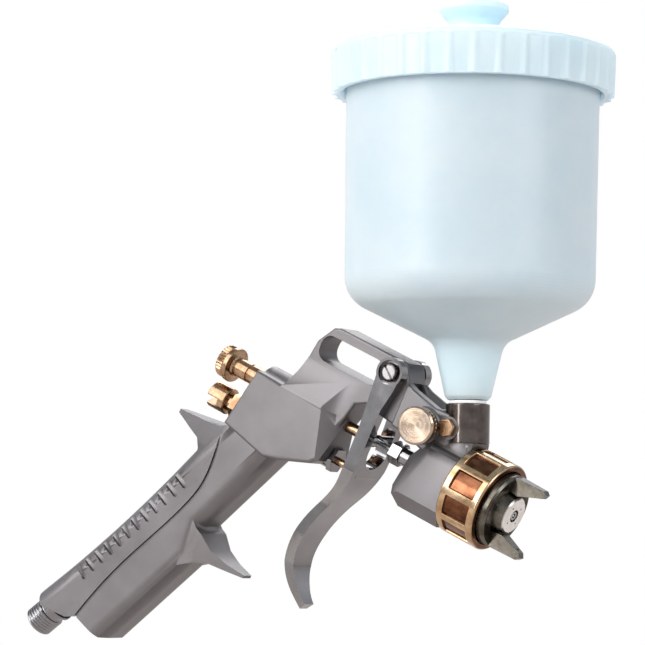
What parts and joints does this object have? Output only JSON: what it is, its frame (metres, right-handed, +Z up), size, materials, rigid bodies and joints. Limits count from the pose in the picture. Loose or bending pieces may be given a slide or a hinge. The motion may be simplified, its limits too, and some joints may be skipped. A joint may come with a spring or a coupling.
{
  "type": "gravity-feed spray gun",
  "caption": "Gravity-feed HVLP spray gun with a cast handle and hanging loop, curved trigger, knurled adjusters, horned air cap and a screw-on plastic cup with lid.",
  "frame": {"origin": "on the axis of the air inlet fitting, halfway along its threaded barrel", "axes": "+Z up along the cup's axis, +X towards the nozzle, +Y to the side away from the fan knob; the gun's needle axis points 24.8 degrees below +X"},
  "size_m": [0.2642, 0.11, 0.2499],
  "materials": {
    "cast_aluminium": "fine sand-blasted satin",
    "chrome": "bright plated",
    "brass": "turned and polished",
    "nickel": "dark nickel plate",
    "steel": "ground",
    "rubber": "matte moulded",
    "white_seal": "plain moulded seal",
    "milky_plastic": "translucent moulded"
  },
  "bodies": {
    "gun": {"gun_body": "cast_aluminium", "inlet_fitting": "chrome", "inlet_filter": "brass", "trigger_screw": "chrome", "trigger_nut": "chrome", "needle_spring": "steel", "fluid_bush": "brass", "needle_packing": "white_seal", "gland_nut": "chrome", "air_valve_seat": "brass", "air_packing_nut": "chrome", "air_packing": "white_seal", "air_spring": "steel", "air_screw_bush": "brass", "fan_valve_body": "brass", "adapter_lock_screw": "brass", "fluid_nozzle": "steel", "air_baffle": "brass", "cup_adapter": "nickel", "cup_washer": "white_seal"},
    "trigger": {"trigger": "chrome"},
    "needle": {"fluid_needle": "steel", "needle_sleeve": "brass", "needle_spring_seat": "steel"},
    "air_valve": {"air_valve_stem": "steel", "air_valve_seal": "rubber"},
    "fluid_stop": {"fluid_knob_seat": "steel"},
    "fluid_knob": {"fluid_knob": "brass"},
    "air_screw_seal": {"air_screw_ring": "rubber"},
    "air_screw": {"air_screw": "brass"},
    "fan_seal": {"fan_seal": "rubber"},
    "fan_knob": {"fan_knob": "brass"},
    "ring_carrier": {"ring_clip": "steel"},
    "retaining_ring": {"retaining_ring": "brass"},
    "air_cap": {"air_cap": "nickel"},
    "strainer": {"cup_strainer": "milky_plastic"},
    "cup": {"cup": "milky_plastic"},
    "lid_seal": {"lid_gasket": "rubber"},
    "lid": {"lid": "milky_plastic"},
    "vent": {"vent_plug": "milky_plastic"}
  },
  "joints": [
    {"name": "trigger_pull", "type": "hinge", "parent": "gun", "child": "trigger", "pos_m": [0.17358, 0, 0.09859], "axis": [0, 1, 0], "range_deg": [0, 12], "stiffness_Nm_per_rad": 1.2, "springref_deg": -14.32},
    {"name": "needle_slide", "type": "slide", "parent": "gun", "child": "needle", "axis": [-0.9078, 0, 0.4195], "range_m": [0, 0.0062], "deforming": ["needle_spring"]},
    {"name": "air_valve_slide", "type": "slide", "parent": "gun", "child": "air_valve", "axis": [-0.9078, 0, 0.4195], "range_m": [0, 0.0092], "deforming": ["air_spring"]},
    {"name": "fluid_knob_travel", "type": "slide", "parent": "gun", "child": "fluid_stop", "axis": [-0.9078, 0, 0.4195], "range_m": [-0.004, 0.002]},
    {"name": "fluid_knob_turn", "type": "hinge", "parent": "fluid_stop", "child": "fluid_knob", "pos_m": [0.09241, 0, 0.10436], "axis": [-0.9078, 0, 0.4195], "range_deg": [-1440, 720]},
    {"name": "air_screw_travel", "type": "slide", "parent": "gun", "child": "air_screw_seal", "axis": [-0.9078, 0, 0.4195], "range_m": [0, 0.003]},
    {"name": "air_screw_turn", "type": "hinge", "parent": "air_screw_seal", "child": "air_screw", "pos_m": [0.08914, 0, 0.09012], "axis": [-0.9078, 0, 0.4195], "range_deg": [0, 1080]},
    {"name": "fan_valve_travel", "type": "slide", "parent": "gun", "child": "fan_seal", "axis": [0.1576, -0.9848, -0.0728], "range_m": [0, 0.0025]},
    {"name": "fan_knob_turn", "type": "hinge", "parent": "fan_seal", "child": "fan_knob", "pos_m": [0.18952, -0.018, 0.07756], "axis": [0.1576, -0.9848, -0.0728], "range_deg": [0, 900]},
    {"name": "ring_travel", "type": "slide", "parent": "gun", "child": "ring_carrier", "axis": [0.9078, 0, -0.4195], "range_m": [0, 0.009]},
    {"name": "ring_turn", "type": "hinge", "parent": "ring_carrier", "child": "retaining_ring", "pos_m": [0.20861, 0, 0.05067], "axis": [0.9078, 0, -0.4195], "range_deg": [0, 2160]},
    {"name": "air_cap_turn", "type": "hinge", "parent": "ring_carrier", "child": "air_cap", "pos_m": [0.22041, 0, 0.04522], "axis": [0.9078, 0, -0.4195], "range_deg": [-90, 90]},
    {"name": "cup_lift", "type": "slide", "parent": "gun", "child": "strainer", "axis": [0, 0, 1], "range_m": [0, 0.0105]},
    {"name": "cup_turn", "type": "hinge", "parent": "strainer", "child": "cup", "pos_m": [0.20225, 0, 0.15361], "axis": [0, 0, 1], "range_deg": [0, 2520]},
    {"name": "lid_lift", "type": "slide", "parent": "cup", "child": "lid_seal", "axis": [0, 0, 1], "range_m": [0, 0.012]},
    {"name": "lid_turn", "type": "hinge", "parent": "lid_seal", "child": "lid", "pos_m": [0.20225, 0, 0.21361], "axis": [0, 0, 1], "range_deg": [0, 1080]},
    {"name": "vent_pull", "type": "slide", "parent": "lid", "child": "vent", "axis": [0, 0, 1], "range_m": [0, 0.005]}
  ],
  "couplings": [
    {"joint": "needle_slide", "follows": "trigger_pull", "m_per_rad": 0.0289},
    {"joint": "air_valve_slide", "follows": "trigger_pull", "m_per_rad": 0.0432},
    {"joint": "fluid_knob_travel", "follows": "fluid_knob_turn", "m_per_rad": 0.00015915},
    {"joint": "air_screw_travel", "follows": "air_screw_turn", "m_per_rad": 0.00015915},
    {"joint": "fan_valve_travel", "follows": "fan_knob_turn", "m_per_rad": 0.00015915},
    {"joint": "ring_travel", "follows": "ring_turn", "m_per_rad": 0.00023873},
    {"joint": "cup_lift", "follows": "cup_turn", "m_per_rad": 0.00023873},
    {"joint": "lid_lift", "follows": "lid_turn", "m_per_rad": 0.00063662}
  ]
}
